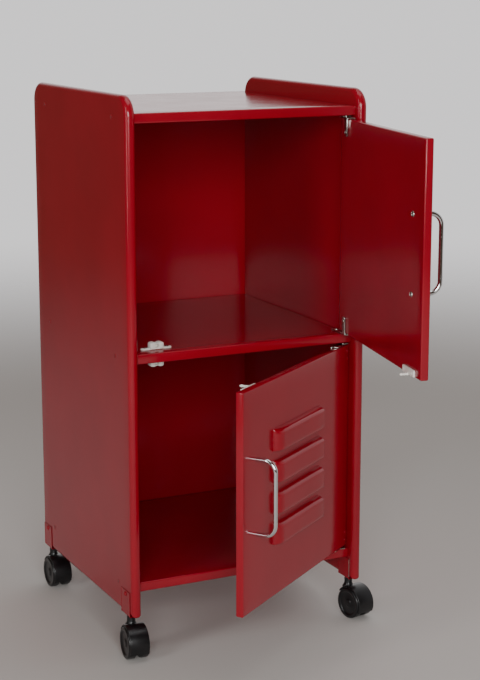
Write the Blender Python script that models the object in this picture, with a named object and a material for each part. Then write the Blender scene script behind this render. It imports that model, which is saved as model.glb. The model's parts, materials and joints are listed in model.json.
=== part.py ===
"""Two-door locker cabinet in red lacquered board, on four twin-wheel castors.

Metres, +Z up. The cabinet stands on its wheels at z = 0, its doors face -Y and both doors
are hinged on the right, at +X. Every moving group hangs from an empty on its joint's axis.
"""
import math

import bmesh
import bpy
import numpy as np
from mathutils import Matrix, Vector

# carcass
WIDTH = 0.400
DEPTH = 0.400
SIDE_HEIGHT = 0.790
SIDE_THICKNESS = 0.016
BOARD_THICKNESS = 0.015
BACK_THICKNESS = 0.005
BACK_INSET = 0.001
SIDE_CORNER_RADIUS = 0.030
SIDE_EDGE_ROUNDING = 0.0045
BOARD_EDGE_ROUNDING = 0.002
SHELF_SETBACK = 0.014
TOP_SETBACK = 0.009
FLOOR_BOARD_RISE = 0.036
TOP_RECESS = 0.026

# fits
JOINT_GAP = 0.0003
RUNNING_GAP = 0.0004
PIN_CLEARANCE = 0.0004
CUTTER_OVERRUN = 0.01

# doors
DOOR_THICKNESS = 0.012
DOOR_SIDE_GAP = 0.0025
DOOR_FREE_GAP = 0.003
PIVOT_INSET = 0.008
PIN_RADIUS = 0.002
PIN_DEPTH = 0.010
PIN_END_CLEARANCE = 0.0015
UPPER_DOOR_OPEN = math.radians(78.7)
LOWER_DOOR_OPEN = math.radians(36.3)

# louvres raised on the outside of each door
LOUVRE_COUNT = 4
LOUVRE_PITCH = 0.0476
LOUVRE_START = 0.110
LOUVRE_FROM_HANDLE = 0.051
LOUVRE_HEIGHT = 0.0335
LOUVRE_RISE = 0.012
LOUVRE_HINGE_END = 0.006
LOUVRE_HANDLE_END = 0.018
LOUVRE_OFFSET = 0.0035
LOUVRE_TOP_ROUNDING = 0.0045
LOUVRE_LOW_ROUNDING = 0.0020
LOUVRE_ROOT = 0.001

# bow handles
HANDLE_FROM_EDGE = 0.0425
HANDLE_SPACING = 0.112
HANDLE_REACH = 0.030
HANDLE_RADIUS = 0.0035
HANDLE_BEND = 0.016
HANDLE_OFFSET = 0.0035
SCREW_RADIUS = 0.002
SCREW_HEAD_RADIUS = 0.0042
SCREW_HEAD_HEIGHT = 0.0022
SCREW_IN_HANDLE = 0.009

# hinges
PLATE_THICKNESS = 0.0016
PLATE_WIDTH = 0.012
PLATE_FRONT = 0.012
PLATE_LENGTH = 0.038
LEG_FROM_HINGE = 0.027
LEG_WIDTH = 0.011
LEG_LENGTH = 0.0265
LEG_THICKNESS = 0.0030
FOLD_INSET = 0.0015
FOLD_FROM_EDGE = 0.002

# push catches
CATCH_FROM_EDGE = 0.0420
CATCH_WIDTH = 0.022
CATCH_DEPTH = 0.011
CATCH_HEIGHT = 0.011
CATCH_BEHIND_DOOR = 0.010
CATCH_ROUNDING = 0.0012
CATCH_EAR_SPAN = 0.050
CATCH_EAR_DEPTH = 0.008
CATCH_EAR_THICKNESS = 0.0025
CATCH_EAR_INSET = 0.0015
KEEPER_WIDTH = 0.044
KEEPER_HEIGHT = 0.010
KEEPER_BASE = 0.003
KEEPER_INSET = 0.0005
TONGUE_LENGTH = 0.012
TONGUE_WIDTH = 0.004
TONGUE_LEVEL = 0.0013
SOCKET_CLEARANCE = 0.0012
SOCKET_HEADROOM = 0.0010
SOCKET_DEPTH = 0.0085

# castors
CASTOR_HEAD_ROOM = 0.015
CASTOR_FRONT_INSET = 0.026
CASTOR_REAR_INSET = 0.024
CASTOR_TRAIL = 0.018
WHEEL_RADIUS = 0.025
WHEEL_WIDTH = 0.0125
WHEEL_SPACE = 0.009
HOOD_CLEARANCE = 0.0012
HOOD_WALL = 0.0020
STEM_RADIUS = 0.004
STEM_IN_PANEL = 0.0285
STEM_FLOOR = 0.00236
COLLAR_RADIUS = 0.0072
COLLAR_ABOVE_AXLE = 0.010
AXLE_RADIUS = 0.003
BRACKET_LENGTH = 0.034
BRACKET_SCREW_LENGTH = 0.0120
BRACKET_SCREW_ABOVE_STEM = 0.0045
BRACKET_ABOVE_SCREW = 0.006
BRACKET_INNER_HEIGHT = 0.034
BRACKET_THICKNESS = 0.0012
BOSS_RADIUS = 0.0062
BOSS_HEIGHT = 0.002
TRAIL_DIRECTIONS = {
    "front_left": math.radians(-95.0),
    "front_right": math.radians(-79.0),
    "rear_left": math.radians(-89.0),
    "rear_right": math.radians(-85.0),
}

# sizes and levels that follow from the sizes above
OPENING_HEIGHT = (SIDE_HEIGHT - FLOOR_BOARD_RISE - TOP_RECESS - 3 * BOARD_THICKNESS) / 2
SIDE_BOTTOM = 2 * WHEEL_RADIUS + CASTOR_HEAD_ROOM
FLOOR_BOARD_TOP = SIDE_BOTTOM + FLOOR_BOARD_RISE + BOARD_THICKNESS
MIDDLE_BOTTOM = FLOOR_BOARD_TOP + OPENING_HEIGHT
MIDDLE_TOP = MIDDLE_BOTTOM + BOARD_THICKNESS
TOP_BOTTOM = MIDDLE_TOP + OPENING_HEIGHT
TOP_TOP = TOP_BOTTOM + BOARD_THICKNESS
SIDE_TOP = SIDE_BOTTOM + SIDE_HEIGHT
INNER_HALF = WIDTH / 2 - SIDE_THICKNESS
DOOR_WIDTH = 2 * INNER_HALF - DOOR_SIDE_GAP - DOOR_FREE_GAP
DOOR_END_GAP = 2 * (JOINT_GAP + PLATE_THICKNESS) + RUNNING_GAP
DOOR_HEIGHT = OPENING_HEIGHT - 2 * DOOR_END_GAP
HANDLE_FROM_HINGE = DOOR_WIDTH - HANDLE_FROM_EDGE
LOUVRE_LENGTH = HANDLE_FROM_HINGE - LOUVRE_FROM_HANDLE - LOUVRE_START
CATCH_FROM_HINGE = DOOR_WIDTH - CATCH_FROM_EDGE
CATCH_FRONT = SHELF_SETBACK + DOOR_THICKNESS + CATCH_BEHIND_DOOR
BRACKET_SCREW_RISE = STEM_IN_PANEL + BRACKET_SCREW_ABOVE_STEM
BRACKET_OUTER_HEIGHT = BRACKET_SCREW_RISE + BRACKET_ABOVE_SCREW
PIVOT_X = INNER_HALF - DOOR_SIDE_GAP - PIVOT_INSET
PIVOT_Y = SHELF_SETBACK + DOOR_THICKNESS / 2
HINGE_EDGE = PIVOT_INSET
INNER_FACE = DOOR_THICKNESS / 2
OUTER_FACE = -DOOR_THICKNESS / 2

for old in list(bpy.data.objects):
    bpy.data.objects.remove(old, do_unlink=True)

scene = bpy.context.scene


def make_material(name, colour, roughness, metallic):
    material = bpy.data.materials.new(name)
    material.use_nodes = True
    shader = material.node_tree.nodes["Principled BSDF"]
    shader.inputs["Base Color"].default_value = (*colour, 1.0)
    shader.inputs["Roughness"].default_value = roughness
    shader.inputs["Metallic"].default_value = metallic
    material.diffuse_color = (*colour, 1.0)
    return material


LACQUER = make_material("red_lacquer", (0.23, 0.012, 0.014), 0.22, 0.0)
CHROME = make_material("polished_chrome", (0.75, 0.75, 0.76), 0.08, 1.0)
STEEL = make_material("zinc_steel", (0.52, 0.52, 0.50), 0.32, 1.0)
WHITE = make_material("white_plastic", (0.80, 0.79, 0.77), 0.35, 0.0)
BLACK = make_material("black_nylon", (0.012, 0.012, 0.012), 0.45, 0.0)


def add_object(name, mesh, material, parent, location=(0.0, 0.0, 0.0), turn=0.0):
    """An object for one sub-part, or for a tool when it has no material."""
    item = bpy.data.objects.new(name, mesh)
    scene.collection.objects.link(item)
    item.location = location
    item.rotation_euler = (0.0, 0.0, turn)
    item.parent = parent
    if material is None:
        item.hide_render = True
        item.display_type = "WIRE"
    elif material.name not in mesh.materials:
        mesh.materials.append(material)
    return item


def add_empty(name, parent, location, turn=0.0):
    item = bpy.data.objects.new(name, None)
    scene.collection.objects.link(item)
    item.location = location
    item.rotation_euler = (0.0, 0.0, turn)
    item.parent = parent
    return item


def finish_mesh(name, shape, smooth=False):
    bmesh.ops.remove_doubles(shape, verts=shape.verts, dist=1e-6)
    bmesh.ops.recalc_face_normals(shape, faces=shape.faces)
    mesh = bpy.data.meshes.new(name)
    shape.to_mesh(mesh)
    shape.free()
    if smooth:
        mesh.shade_smooth()
        mesh.set_sharp_from_angle(angle=math.radians(35.0))
    return mesh


def box_mesh(name, low, high):
    shape = bmesh.new()
    size = Vector(high) - Vector(low)
    middle = (Vector(high) + Vector(low)) / 2
    place = Matrix.Translation(middle) @ Matrix.Diagonal((*size, 1.0))
    bmesh.ops.create_cube(shape, size=1.0, matrix=place)
    return finish_mesh(name, shape)


def prism_mesh(name, outline, axis, low, high, smooth=False):
    """A flat outline pushed along X, Y or Z; its points are the other two coordinates."""
    shape = bmesh.new()
    order = {"X": (1, 2, 0), "Y": (0, 2, 1), "Z": (0, 1, 2)}[axis]
    corners = []
    for first, second in outline:
        point = [0.0, 0.0, 0.0]
        point[order[0]] = first
        point[order[1]] = second
        point[order[2]] = low
        corners.append(shape.verts.new(point))
    face = shape.faces.new(corners)
    pushed = bmesh.ops.extrude_face_region(shape, geom=[face])
    shift = [0.0, 0.0, 0.0]
    shift[order[2]] = high - low
    moved = [item for item in pushed["geom"] if isinstance(item, bmesh.types.BMVert)]
    bmesh.ops.translate(shape, verts=moved, vec=shift)
    return finish_mesh(name, shape, smooth)


def arc_points(centre, radius, start, end, steps):
    """Points on an arc, its angles in degrees."""
    angles = np.radians(np.linspace(start, end, steps + 1))
    return [(centre[0] + radius * math.cos(a), centre[1] + radius * math.sin(a)) for a in angles]


def rod_mesh(name, radius, low, high, axis="Z", centre=(0.0, 0.0), steps=16):
    ring = arc_points(centre, radius, 0.0, 360.0 - 360.0 / steps, steps - 1)
    return prism_mesh(name, ring, axis, low, high, smooth=True)


def turned_mesh(name, profile, axis, steps):
    """A profile of (radius, along) points spun about X, Y or Z; it starts and ends at radius 0.

    A flat of the turned shape, not a corner, points along each of the other two axes.
    """
    shape = bmesh.new()
    order = {"X": (1, 2, 0), "Y": (2, 0, 1), "Z": (0, 1, 2)}[axis]
    rings = []
    for radius, along in profile:
        count = 1 if radius == 0.0 else steps
        ring = []
        for step in range(count):
            angle = 2 * math.pi * (step + 0.5) / steps
            point = [0.0, 0.0, 0.0]
            point[order[0]] = radius * math.cos(angle)
            point[order[1]] = radius * math.sin(angle)
            point[order[2]] = along
            ring.append(shape.verts.new(point))
        rings.append(ring)
    for first, second in zip(rings[:-1], rings[1:]):
        for step in range(steps):
            after = (step + 1) % steps
            corners = [first[step % len(first)], first[after % len(first)]]
            corners += [second[after % len(second)], second[step % len(second)]]
            distinct = list(dict.fromkeys(corners))
            shape.faces.new(distinct)
    return finish_mesh(name, shape, smooth=True)


def bevel_edges(item, width, segments, limit=40.0):
    bevel = item.modifiers.new("rounded_edges", "BEVEL")
    bevel.width = width
    bevel.segments = segments
    bevel.limit_method = "ANGLE"
    bevel.angle_limit = math.radians(limit)
    bevel.use_clamp_overlap = True


def combine(item, tool, operation):
    step = item.modifiers.new(tool.name, "BOOLEAN")
    step.operation = operation
    step.solver = "EXACT"
    step.object = tool


def cut(item, tool_mesh, parent, location=(0.0, 0.0, 0.0)):
    tool = add_object(f"{item.name}_cutter_{len(item.modifiers)}", tool_mesh, None, parent, location)
    combine(item, tool, "DIFFERENCE")


def join(item, tool_mesh, parent, location=(0.0, 0.0, 0.0)):
    tool = add_object(f"{item.name}_form_{len(item.modifiers)}", tool_mesh, None, parent, location)
    combine(item, tool, "UNION")


def settled_mesh(item, name):
    """The mesh of an object after its modifiers, ready to be shared by its copies."""
    bpy.context.view_layer.update()
    graph = bpy.context.evaluated_depsgraph_get()
    mesh = bpy.data.meshes.new_from_object(item.evaluated_get(graph))
    mesh.name = name
    item.hide_render = True
    item.display_type = "WIRE"
    return mesh


root = add_empty("cabinet_root", None, (0.0, 0.0, 0.0))


# carcass ---------------------------------------------------------------------------------

def side_outline():
    """Depth and height of a side panel, with both top corners rounded."""
    radius = SIDE_CORNER_RADIUS
    points = [(0.0, SIDE_BOTTOM), (DEPTH, SIDE_BOTTOM)]
    points += arc_points((DEPTH - radius, SIDE_TOP - radius), radius, 0.0, 90.0, 8)
    points += arc_points((radius, SIDE_TOP - radius), radius, 90.0, 180.0, 8)
    return points


castor_depths = {"front": CASTOR_FRONT_INSET, "rear": DEPTH - CASTOR_REAR_INSET}
screw_level = SIDE_BOTTOM + BRACKET_SCREW_RISE
screw_bore_depth = BRACKET_SCREW_LENGTH - BRACKET_THICKNESS - JOINT_GAP

for side, sign in (("left", -1.0), ("right", 1.0)):
    inner = sign * INNER_HALF
    outer = sign * WIDTH / 2
    mesh = prism_mesh(f"{side}_side", side_outline(), "X", min(inner, outer), max(inner, outer))
    panel = add_object(f"{side}_side_panel", mesh, LACQUER, root)
    bevel_edges(panel, SIDE_EDGE_ROUNDING, 3)
    for depth in castor_depths.values():
        middle = (sign * (WIDTH - SIDE_THICKNESS) / 2, depth)
        top = SIDE_BOTTOM + STEM_IN_PANEL + RUNNING_GAP
        bore = rod_mesh("stem_bore", STEM_RADIUS + PIN_CLEARANCE, SIDE_BOTTOM - CUTTER_OVERRUN, top, "Z", middle)
        cut(panel, bore, root)
        ends = sorted((outer + sign * CUTTER_OVERRUN, outer - sign * screw_bore_depth))
        hole = rod_mesh("screw_bore", SCREW_RADIUS + PIN_CLEARANCE, *ends, "X", (depth, screw_level), 12)
        cut(panel, hole, root)


def add_board(name, low_z, front, back):
    half = INNER_HALF - JOINT_GAP
    mesh = box_mesh(name, (-half, front, low_z), (half, back, low_z + BOARD_THICKNESS))
    board = add_object(name, mesh, LACQUER, root)
    bevel_edges(board, BOARD_EDGE_ROUNDING, 2)
    return board


back_front = DEPTH - BACK_THICKNESS
back_face = DEPTH - BACK_INSET
add_board("top_board", TOP_BOTTOM, TOP_SETBACK, back_face)
add_board("middle_shelf", MIDDLE_BOTTOM, SHELF_SETBACK, back_front - JOINT_GAP)
add_board("bottom_shelf", FLOOR_BOARD_TOP - BOARD_THICKNESS, SHELF_SETBACK, back_face)
half = INNER_HALF - JOINT_GAP
low = (-half, back_front, FLOOR_BOARD_TOP + JOINT_GAP)
high = (half, back_face, TOP_BOTTOM - JOINT_GAP)
add_object("back_panel", box_mesh("back_panel", low, high), LACQUER, root)


# doors -----------------------------------------------------------------------------------

def louvre_mesh(name, low_z):
    """One louvre: its flat face stands off the door and each end falls away as a quarter ellipse.

    The end by the handle falls away over a longer run than the end by the hinge.
    """
    shape = bmesh.new()
    start = HINGE_EDGE - LOUVRE_START
    end = start - LOUVRE_LENGTH
    turn = np.linspace(0.0, math.pi / 2, 7)
    fall = 1 - np.cos(turn)
    along = np.concatenate((LOUVRE_HINGE_END * fall, LOUVRE_LENGTH - LOUVRE_HANDLE_END * fall[::-1]))
    rise = np.concatenate((LOUVRE_RISE * np.sin(turn), LOUVRE_RISE * np.sin(turn[::-1])))
    rise = np.maximum(rise, 0.0002)
    high_z = low_z + LOUVRE_HEIGHT
    rings = []
    for distance, height in zip(along, rise):
        round_top = min(LOUVRE_TOP_ROUNDING, height * 0.9)
        round_low = min(LOUVRE_LOW_ROUNDING, height * 0.9)
        section = [(OUTER_FACE + LOUVRE_ROOT, low_z), (OUTER_FACE - height + round_low, low_z)]
        section += [(OUTER_FACE - height, low_z + round_low)]
        section += [(OUTER_FACE - height, high_z - round_top)]
        section += [(OUTER_FACE - height + 0.3 * round_top, high_z - 0.3 * round_top)]
        section += [(OUTER_FACE - height + round_top, high_z), (OUTER_FACE + LOUVRE_ROOT, high_z)]
        x = start + (end - start) * distance / LOUVRE_LENGTH
        rings.append([shape.verts.new((x, depth, height_z)) for depth, height_z in section])
    for first, second in zip(rings[:-1], rings[1:]):
        for step in range(len(first)):
            after = (step + 1) % len(first)
            shape.faces.new((first[step], first[after], second[after], second[step]))
    shape.faces.new(rings[0])
    shape.faces.new(rings[-1])
    return finish_mesh(name, shape)


def bow_path():
    """Centre line of a handle, as (reach, height): out, round a bend, up, round a bend and back."""
    top = HANDLE_SPACING / 2
    bend = HANDLE_BEND
    reach = HANDLE_REACH
    points = [(JOINT_GAP, -top)]
    points += arc_points((reach - bend, -top + bend), bend, -90.0, 0.0, 5)
    points += arc_points((reach - bend, top - bend), bend, 0.0, 90.0, 5)
    points += [(JOINT_GAP, top)]
    return points


leg_bore_depth = SCREW_IN_HANDLE + PIN_END_CLEARANCE


def handle_mesh(name):
    """A round bar swept along the bow, with a blind hole up each leg for its screw."""
    path = [Vector((0.0, -reach, height)) for reach, height in bow_path()]
    shape = bmesh.new()
    rings = []
    steps = 12
    for index, point in enumerate(path):
        before = path[max(index - 1, 0)]
        after = path[min(index + 1, len(path) - 1)]
        along = (after - before).normalized()
        side = Vector((1.0, 0.0, 0.0))
        normal = side.cross(along)
        ring = []
        for step in range(steps):
            angle = 2 * math.pi * step / steps
            offset = side * math.cos(angle) + normal * math.sin(angle)
            ring.append(shape.verts.new(point + offset * HANDLE_RADIUS))
        rings.append(ring)
    for first, second in zip(rings[:-1], rings[1:]):
        for step in range(steps):
            after = (step + 1) % steps
            shape.faces.new((first[step], first[after], second[after], second[step]))
    shape.faces.new(rings[0])
    shape.faces.new(rings[-1])
    bar = add_object("handle_form", finish_mesh("handle_form", shape, True), None, None)
    for height in (-HANDLE_SPACING / 2, HANDLE_SPACING / 2):
        bore = rod_mesh("leg_bore", SCREW_RADIUS + PIN_CLEARANCE, -leg_bore_depth, 0.005, "Y", (0.0, height), 12)
        cut(bar, bore, None)
    return settled_mesh(bar, name)


shared_handle = handle_mesh("bow_handle")
screw_reach = DOOR_THICKNESS + SCREW_IN_HANDLE
shared_screw = turned_mesh(
    "handle_screw",
    [
        (0.0, JOINT_GAP + SCREW_HEAD_HEIGHT),
        (SCREW_HEAD_RADIUS * 0.62, JOINT_GAP + SCREW_HEAD_HEIGHT * 0.86),
        (SCREW_HEAD_RADIUS, JOINT_GAP + SCREW_HEAD_HEIGHT * 0.35),
        (SCREW_HEAD_RADIUS, JOINT_GAP),
        (SCREW_RADIUS, JOINT_GAP),
        (SCREW_RADIUS, -screw_reach),
        (0.0, -screw_reach),
    ],
    "Y",
    12,
)


def add_door(level, low_z, angle, keeper_at_top):
    """A door panel and all it carries, on an empty at its pivot line."""
    pivot = add_empty(f"{level}_door_pivot", root, (PIVOT_X, PIVOT_Y, low_z), angle)
    free_edge = HINGE_EDGE - DOOR_WIDTH
    mesh = box_mesh(f"{level}_door", (free_edge, OUTER_FACE, 0.0), (HINGE_EDGE, INNER_FACE, DOOR_HEIGHT))
    panel = add_object(f"{level}_door_panel", mesh, LACQUER, pivot)
    bevel_edges(panel, BOARD_EDGE_ROUNDING, 2)
    stack = LOUVRE_PITCH * (LOUVRE_COUNT - 1) + LOUVRE_HEIGHT
    lowest = (DOOR_HEIGHT - stack) / 2 + LOUVRE_OFFSET
    for index in range(LOUVRE_COUNT):
        join(panel, louvre_mesh("louvre", lowest + index * LOUVRE_PITCH), pivot)
    bore_depth = PIN_DEPTH + PIN_END_CLEARANCE
    for low, high in ((-CUTTER_OVERRUN, bore_depth), (DOOR_HEIGHT - bore_depth, DOOR_HEIGHT + CUTTER_OVERRUN)):
        cut(panel, rod_mesh("pin_bore", PIN_RADIUS + PIN_CLEARANCE, low, high, steps=12), pivot)

    grip_x = HINGE_EDGE - HANDLE_FROM_HINGE
    grip_z = DOOR_HEIGHT / 2 + HANDLE_OFFSET
    handle_at = (grip_x, OUTER_FACE, grip_z)
    add_object(f"{level}_door_handle", shared_handle, CHROME, pivot, handle_at)
    for end, sign in (("bottom", -1.0), ("top", 1.0)):
        height = grip_z + sign * HANDLE_SPACING / 2
        ends = (OUTER_FACE - CUTTER_OVERRUN, INNER_FACE + CUTTER_OVERRUN)
        hole = rod_mesh("screw_hole", SCREW_RADIUS + PIN_CLEARANCE, *ends, "Y", (grip_x, height), 12)
        cut(panel, hole, pivot)
        at = (grip_x, INNER_FACE, height)
        add_object(f"{level}_handle_screw_{end}", shared_screw, STEEL, pivot, at)

    near_end = DOOR_HEIGHT if keeper_at_top else 0.0
    inwards = -1.0 if keeper_at_top else 1.0
    x = HINGE_EDGE - CATCH_FROM_HINGE
    base_low = near_end + inwards * KEEPER_INSET
    base_high = near_end + inwards * (KEEPER_INSET + KEEPER_HEIGHT)
    levels = sorted((base_low, base_high))
    face = INNER_FACE + JOINT_GAP
    corners = ((x - KEEPER_WIDTH / 2, face, levels[0]), (x + KEEPER_WIDTH / 2, face + KEEPER_BASE, levels[1]))
    keeper = add_object(f"{level}_door_keeper", box_mesh("keeper", *corners), WHITE, pivot)
    tip = face + KEEPER_BASE + TONGUE_LENGTH
    middle = near_end + inwards * TONGUE_LEVEL
    half = TONGUE_WIDTH / 2
    outline = [(x - half, face + 0.001), (x + half, face + 0.001), (x + half * 0.8, tip - 0.004)]
    outline += [(x + half, tip - 0.0025), (x + half * 0.4, tip), (x - half * 0.4, tip)]
    outline += [(x - half, tip - 0.0025), (x - half * 0.8, tip - 0.004)]
    join(keeper, prism_mesh("tongue", outline, "Z", middle - half, middle + half), pivot)

    leg_x = HINGE_EDGE - LEG_FROM_HINGE
    for end, start, sign in (("bottom", 0.0, 1.0), ("top", DOOR_HEIGHT, -1.0)):
        fold = sorted((start - sign * JOINT_GAP, start - sign * (JOINT_GAP + PLATE_THICKNESS)))
        low = (leg_x - LEG_WIDTH, OUTER_FACE + FOLD_INSET, fold[0])
        high = (HINGE_EDGE - FOLD_FROM_EDGE, INNER_FACE + JOINT_GAP + LEG_THICKNESS, fold[1])
        bracket = add_object(f"{level}_door_{end}_bracket", box_mesh("fold", low, high), STEEL, pivot)
        reach = sorted((start - sign * (JOINT_GAP + PLATE_THICKNESS / 2), start + sign * LEG_LENGTH))
        low = (leg_x - LEG_WIDTH, INNER_FACE + JOINT_GAP, reach[0])
        high = (leg_x, INNER_FACE + JOINT_GAP + LEG_THICKNESS, reach[1])
        join(bracket, box_mesh("leg", low, high), pivot)
        reach = (fold[0] - CUTTER_OVERRUN, fold[1] + CUTTER_OVERRUN)
        cut(bracket, rod_mesh("pin_hole", PIN_RADIUS + PIN_CLEARANCE, *reach, steps=12), pivot)
    return pivot


def add_pivot_plate(name, board_z, direction):
    """The plate screwed to a board, with the pin that the door turns on."""
    start = board_z + direction * JOINT_GAP
    ends = sorted((start, start + direction * PLATE_THICKNESS))
    low = (PIVOT_X - PLATE_WIDTH / 2, PLATE_FRONT, ends[0])
    high = (PIVOT_X + PLATE_WIDTH / 2, PLATE_FRONT + PLATE_LENGTH, ends[1])
    plate = add_object(name, box_mesh(name, low, high), STEEL, root)
    tip = board_z + direction * (DOOR_END_GAP + PIN_DEPTH)
    pin = sorted((start + direction * PLATE_THICKNESS / 2, tip))
    join(plate, rod_mesh("pin", PIN_RADIUS, pin[0], pin[1], "Z", (PIVOT_X, PIVOT_Y), 12), root)


def add_catch(name, board_z, direction):
    """A moulded catch: a block with a socket in its front face and an ear on each side."""
    x = PIVOT_X + HINGE_EDGE - CATCH_FROM_HINGE
    start = board_z + direction * JOINT_GAP
    ends = sorted((start, start + direction * CATCH_HEIGHT))
    low = (x - CATCH_WIDTH / 2, CATCH_FRONT, ends[0])
    high = (x + CATCH_WIDTH / 2, CATCH_FRONT + CATCH_DEPTH, ends[1])
    catch = add_object(name, box_mesh(name, low, high), WHITE, root)
    bevel_edges(catch, CATCH_ROUNDING, 2)
    ears = sorted((start, start + direction * CATCH_EAR_THICKNESS))
    ear_front = CATCH_FRONT + CATCH_EAR_INSET
    low = (x - CATCH_EAR_SPAN / 2, ear_front, ears[0])
    high = (x + CATCH_EAR_SPAN / 2, ear_front + CATCH_EAR_DEPTH, ears[1])
    join(catch, box_mesh("ears", low, high), root)
    middle = board_z + direction * (DOOR_END_GAP + TONGUE_LEVEL)
    half = TONGUE_WIDTH / 2 + SOCKET_CLEARANCE
    tall = TONGUE_WIDTH / 2 + SOCKET_HEADROOM
    low = (x - half, CATCH_FRONT - CUTTER_OVERRUN, middle - tall)
    high = (x + half, CATCH_FRONT + SOCKET_DEPTH, middle + tall)
    cut(catch, box_mesh("socket", low, high), root)


lower_door_pivot = add_door("lower", FLOOR_BOARD_TOP + DOOR_END_GAP, LOWER_DOOR_OPEN, True)
upper_door_pivot = add_door("upper", MIDDLE_TOP + DOOR_END_GAP, UPPER_DOOR_OPEN, False)
add_pivot_plate("lower_bottom_pivot_plate", FLOOR_BOARD_TOP, 1.0)
add_pivot_plate("lower_top_pivot_plate", MIDDLE_BOTTOM, -1.0)
add_pivot_plate("upper_bottom_pivot_plate", MIDDLE_TOP, 1.0)
add_pivot_plate("upper_top_pivot_plate", TOP_BOTTOM, -1.0)
add_catch("lower_catch", MIDDLE_BOTTOM, -1.0)
add_catch("upper_catch", MIDDLE_TOP, 1.0)


# castors ---------------------------------------------------------------------------------

# the stem goes down to just above the room that the hood leaves for the wheels
wheel_room_radius = WHEEL_RADIUS + HOOD_CLEARANCE
wheel_room_top = WHEEL_RADIUS + math.sqrt(wheel_room_radius ** 2 - CASTOR_TRAIL ** 2)
stem_low = wheel_room_top + STEM_FLOOR


def hood_mesh(name):
    """The hood of a castor with its stem at the origin and its wheels trailing towards +Y."""
    inner = wheel_room_radius
    outer = inner + HOOD_WALL
    web = WHEEL_SPACE / 2 - 0.0008
    half = WHEEL_SPACE / 2 + WHEEL_WIDTH - 0.0015
    axle = (CASTOR_TRAIL, WHEEL_RADIUS)
    outline = arc_points(axle, outer, -25.0, 145.0, 17)
    outline += [(CASTOR_TRAIL - 0.013, WHEEL_RADIUS - 0.004), (CASTOR_TRAIL - 0.004, WHEEL_RADIUS - 0.012)]
    outline += [(CASTOR_TRAIL + 0.010, WHEEL_RADIUS - 0.012)]
    form = add_object("hood_form", prism_mesh("hood_web", outline, "X", -web, web), None, None)
    shell = arc_points(axle, outer, -25.0, 145.0, 17) + arc_points(axle, inner, 145.0, -25.0, 17)
    join(form, prism_mesh("hood_shell", shell, "X", -half, half), None)
    collar_top = SIDE_BOTTOM - JOINT_GAP - BRACKET_THICKNESS - BOSS_HEIGHT - RUNNING_GAP
    collar_low = WHEEL_RADIUS + COLLAR_ABOVE_AXLE
    join(form, rod_mesh("hood_collar", COLLAR_RADIUS, collar_low, collar_top, steps=20), None)
    for sign in (-1.0, 1.0):
        ends = sorted((sign * web, sign * (half + CUTTER_OVERRUN)))
        cut(form, rod_mesh("wheel_room", inner, *ends, "X", axle, 36), None)
    socket = (stem_low - RUNNING_GAP, collar_top + CUTTER_OVERRUN)
    cut(form, rod_mesh("stem_socket", STEM_RADIUS + PIN_CLEARANCE, *socket), None)
    ends = (-half - CUTTER_OVERRUN, half + CUTTER_OVERRUN)
    cut(form, rod_mesh("axle_bore", AXLE_RADIUS + PIN_CLEARANCE, *ends, "X", axle, 12), None)
    return settled_mesh(form, name)


def wheel_mesh(name):
    """One wheel, its hub face towards +X and its middle at the origin."""
    half = WHEEL_WIDTH / 2
    steps = 24
    radius = WHEEL_RADIUS / math.cos(math.pi / steps)
    bore = AXLE_RADIUS + PIN_CLEARANCE
    profile = [(0.0, half - 0.0008), (0.007, half - 0.0008), (0.009, half - 0.0022), (0.0185, half - 0.0022)]
    profile += [(0.0200, half), (radius - 0.0018, half), (radius, half - 0.0022), (radius, -half + 0.0015)]
    profile += [(radius - 0.0012, -half), (bore, -half), (bore, half - 0.0035), (0.0, half - 0.0035)]
    return turned_mesh(name, profile, "X", steps)


shared_hood = hood_mesh("castor_hood")
shared_wheel = wheel_mesh("castor_wheel")
axle_half = WHEEL_SPACE / 2 + WHEEL_WIDTH - 0.0040
shared_axle = rod_mesh("castor_axle", AXLE_RADIUS, -axle_half, axle_half, "X", steps=12)
stem_high = SIDE_BOTTOM + STEM_IN_PANEL
shared_stem = rod_mesh("castor_stem", STEM_RADIUS, stem_low, stem_high, steps=16)
shared_bracket_screw = turned_mesh(
    "bracket_screw",
    [
        (0.0, 0.0019),
        (0.0022, 0.0017),
        (0.0036, 0.0006),
        (0.0036, 0.0),
        (SCREW_RADIUS, 0.0),
        (SCREW_RADIUS, -BRACKET_SCREW_LENGTH),
        (0.0, -BRACKET_SCREW_LENGTH),
    ],
    "X",
    12,
)


def bracket_outline(sign):
    """Across and up: a channel whose outer leg is taller than its inner one."""
    outside = WIDTH / 2 + JOINT_GAP
    inside = INNER_HALF - JOINT_GAP
    wall = BRACKET_THICKNESS
    base = SIDE_BOTTOM - JOINT_GAP
    points = [(outside + wall, base - wall), (outside + wall, base + BRACKET_OUTER_HEIGHT)]
    points += [(outside, base + BRACKET_OUTER_HEIGHT), (outside, base), (inside, base)]
    points += [(inside, base + BRACKET_INNER_HEIGHT), (inside - wall, base + BRACKET_INNER_HEIGHT)]
    points += [(inside - wall, base - wall)]
    return [(sign * across, up) for across, up in points]


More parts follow.
